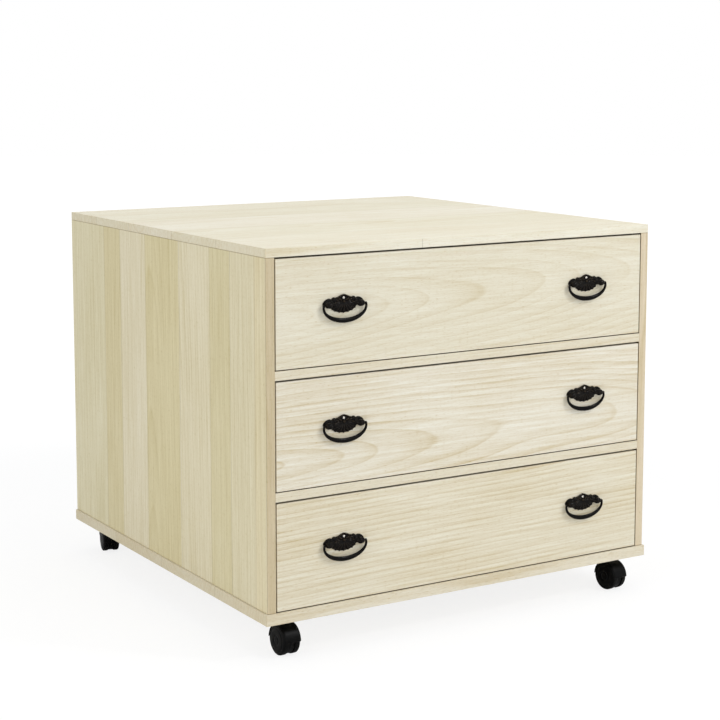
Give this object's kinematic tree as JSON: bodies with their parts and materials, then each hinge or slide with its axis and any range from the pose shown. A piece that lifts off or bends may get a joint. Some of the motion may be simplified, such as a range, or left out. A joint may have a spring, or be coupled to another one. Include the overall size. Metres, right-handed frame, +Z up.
{
  "type": "tansu chest",
  "caption": "Low square chest of wide stacked drawers in pale paulownia wood, with black drop-bail handles on shell backplates and twin-wheel swivel casters.",
  "frame": {"origin": "on the floor, under the middle of the base board, with the casters standing on Z = 0", "axes": "+Z up, +X to the right as seen from the front, and the drawers open towards -Y"},
  "size_m": [0.75, 0.7588, 0.64],
  "materials": {
    "paulownia_case": "planed and lightly sanded, unfinished paulownia",
    "paulownia_drawer": "planed and lightly sanded, unfinished paulownia",
    "black_iron": "pressed iron, black lacquer, satin",
    "bright_steel": "bare steel nail",
    "black_nylon": "moulded black nylon, satin",
    "zinc_steel": "zinc-plated steel"
  },
  "bodies": {
    "case": {"top_panel": "paulownia_case", "base_panel": "paulownia_case", "back_panel": "paulownia_case", "left_side_panel": "paulownia_case", "right_side_panel": "paulownia_case", "lower_front_rail": "paulownia_case", "upper_front_rail": "paulownia_case", "lower_rear_rail": "paulownia_case", "upper_rear_rail": "paulownia_case", "left_runners": "paulownia_case", "right_runners": "paulownia_case", "caster_stems": "zinc_steel", "insert_nuts": "zinc_steel"},
    "lower_drawer": {"lower_drawer_front": "paulownia_drawer", "lower_drawer_back": "paulownia_drawer", "lower_drawer_left_side": "paulownia_drawer", "lower_drawer_right_side": "paulownia_drawer", "lower_drawer_bottom": "paulownia_drawer", "lower_drawer_batten": "paulownia_drawer", "lower_handle_plates": "black_iron", "lower_handle_nails": "bright_steel"},
    "lower_left_bail": {"lower_left_bail": "black_iron"},
    "lower_right_bail": {"lower_right_bail": "black_iron"},
    "middle_drawer": {"middle_drawer_front": "paulownia_drawer", "middle_drawer_back": "paulownia_drawer", "middle_drawer_left_side": "paulownia_drawer", "middle_drawer_right_side": "paulownia_drawer", "middle_drawer_bottom": "paulownia_drawer", "middle_drawer_batten": "paulownia_drawer", "middle_handle_plates": "black_iron", "middle_handle_nails": "bright_steel"},
    "middle_left_bail": {"middle_left_bail": "black_iron"},
    "middle_right_bail": {"middle_right_bail": "black_iron"},
    "upper_drawer": {"upper_drawer_front": "paulownia_drawer", "upper_drawer_back": "paulownia_drawer", "upper_drawer_left_side": "paulownia_drawer", "upper_drawer_right_side": "paulownia_drawer", "upper_drawer_bottom": "paulownia_drawer", "upper_drawer_batten": "paulownia_drawer", "upper_handle_plates": "black_iron", "upper_handle_nails": "bright_steel"},
    "upper_left_bail": {"upper_left_bail": "black_iron"},
    "upper_right_bail": {"upper_right_bail": "black_iron"},
    "front_left_caster": {"front_left_caster_hood": "black_nylon", "front_left_caster_axle": "zinc_steel"},
    "front_left_caster_left_wheel": {"front_left_caster_left_wheel": "black_nylon"},
    "front_left_caster_right_wheel": {"front_left_caster_right_wheel": "black_nylon"},
    "front_right_caster": {"front_right_caster_hood": "black_nylon", "front_right_caster_axle": "zinc_steel"},
    "front_right_caster_left_wheel": {"front_right_caster_left_wheel": "black_nylon"},
    "front_right_caster_right_wheel": {"front_right_caster_right_wheel": "black_nylon"},
    "rear_left_caster": {"rear_left_caster_hood": "black_nylon", "rear_left_caster_axle": "zinc_steel"},
    "rear_left_caster_left_wheel": {"rear_left_caster_left_wheel": "black_nylon"},
    "rear_left_caster_right_wheel": {"rear_left_caster_right_wheel": "black_nylon"},
    "rear_right_caster": {"rear_right_caster_hood": "black_nylon", "rear_right_caster_axle": "zinc_steel"},
    "rear_right_caster_left_wheel": {"rear_right_caster_left_wheel": "black_nylon"},
    "rear_right_caster_right_wheel": {"rear_right_caster_right_wheel": "black_nylon"}
  },
  "joints": [
    {"name": "lower_drawer_slide", "type": "slide", "parent": "case", "child": "lower_drawer", "axis": [0, -1, 0], "range_m": [0, 0.6]},
    {"name": "lower_left_bail_pivot", "type": "hinge", "parent": "lower_drawer", "child": "lower_left_bail", "pos_m": [-0.237, -0.378, 0.1729], "axis": [-1, 0, 0], "range_deg": [-7, 187]},
    {"name": "lower_right_bail_pivot", "type": "hinge", "parent": "lower_drawer", "child": "lower_right_bail", "pos_m": [0.237, -0.378, 0.1729], "axis": [-1, 0, 0], "range_deg": [-7, 187]},
    {"name": "middle_drawer_slide", "type": "slide", "parent": "case", "child": "middle_drawer", "axis": [0, -1, 0], "range_m": [0, 0.6]},
    {"name": "middle_left_bail_pivot", "type": "hinge", "parent": "middle_drawer", "child": "middle_left_bail", "pos_m": [-0.237, -0.378, 0.3604], "axis": [-1, 0, 0], "range_deg": [-7, 187]},
    {"name": "middle_right_bail_pivot", "type": "hinge", "parent": "middle_drawer", "child": "middle_right_bail", "pos_m": [0.237, -0.378, 0.3604], "axis": [-1, 0, 0], "range_deg": [-7, 187]},
    {"name": "upper_drawer_slide", "type": "slide", "parent": "case", "child": "upper_drawer", "axis": [0, -1, 0], "range_m": [0, 0.6]},
    {"name": "upper_left_bail_pivot", "type": "hinge", "parent": "upper_drawer", "child": "upper_left_bail", "pos_m": [-0.237, -0.378, 0.5479], "axis": [-1, 0, 0], "range_deg": [-7, 187]},
    {"name": "upper_right_bail_pivot", "type": "hinge", "parent": "upper_drawer", "child": "upper_right_bail", "pos_m": [0.237, -0.378, 0.5479], "axis": [-1, 0, 0], "range_deg": [-7, 187]},
    {"name": "front_left_caster_swivel", "type": "hinge", "parent": "case", "child": "front_left_caster", "pos_m": [-0.326, -0.326, 0.045], "axis": [0, 0, 1], "continuous": true},
    {"name": "front_left_caster_left_wheel_roll", "type": "hinge", "parent": "front_left_caster", "child": "front_left_caster_left_wheel", "pos_m": [-0.32572, -0.342, 0.024], "axis": [0.9998, 0.0175, 0], "continuous": true},
    {"name": "front_left_caster_right_wheel_roll", "type": "hinge", "parent": "front_left_caster", "child": "front_left_caster_right_wheel", "pos_m": [-0.32572, -0.342, 0.024], "axis": [0.9998, 0.0175, 0], "continuous": true},
    {"name": "front_right_caster_swivel", "type": "hinge", "parent": "case", "child": "front_right_caster", "pos_m": [0.326, -0.326, 0.045], "axis": [0, 0, 1], "continuous": true},
    {"name": "front_right_caster_left_wheel_roll", "type": "hinge", "parent": "front_right_caster", "child": "front_right_caster_left_wheel", "pos_m": [0.32739, -0.34194, 0.024], "axis": [0.9962, 0.0872, 0], "continuous": true},
    {"name": "front_right_caster_right_wheel_roll", "type": "hinge", "parent": "front_right_caster", "child": "front_right_caster_right_wheel", "pos_m": [0.32739, -0.34194, 0.024], "axis": [0.9962, 0.0872, 0], "continuous": true},
    {"name": "rear_left_caster_swivel", "type": "hinge", "parent": "case", "child": "rear_left_caster", "pos_m": [-0.326, 0.326, 0.045], "axis": [0, 0, 1], "continuous": true},
    {"name": "rear_left_caster_left_wheel_roll", "type": "hinge", "parent": "rear_left_caster", "child": "rear_left_caster_left_wheel", "pos_m": [-0.32213, 0.34153, 0.024], "axis": [-0.9703, 0.2419, 0], "continuous": true},
    {"name": "rear_left_caster_right_wheel_roll", "type": "hinge", "parent": "rear_left_caster", "child": "rear_left_caster_right_wheel", "pos_m": [-0.32213, 0.34153, 0.024], "axis": [-0.9703, 0.2419, 0], "continuous": true},
    {"name": "rear_right_caster_swivel", "type": "hinge", "parent": "case", "child": "rear_right_caster", "pos_m": [0.326, 0.326, 0.045], "axis": [0, 0, 1], "continuous": true},
    {"name": "rear_right_caster_left_wheel_roll", "type": "hinge", "parent": "rear_right_caster", "child": "rear_right_caster_left_wheel", "pos_m": [0.31924, 0.3405, 0.024], "axis": [-0.9063, -0.4226, 0], "continuous": true},
    {"name": "rear_right_caster_right_wheel_roll", "type": "hinge", "parent": "rear_right_caster", "child": "rear_right_caster_right_wheel", "pos_m": [0.31924, 0.3405, 0.024], "axis": [-0.9063, -0.4226, 0], "continuous": true}
  ]
}
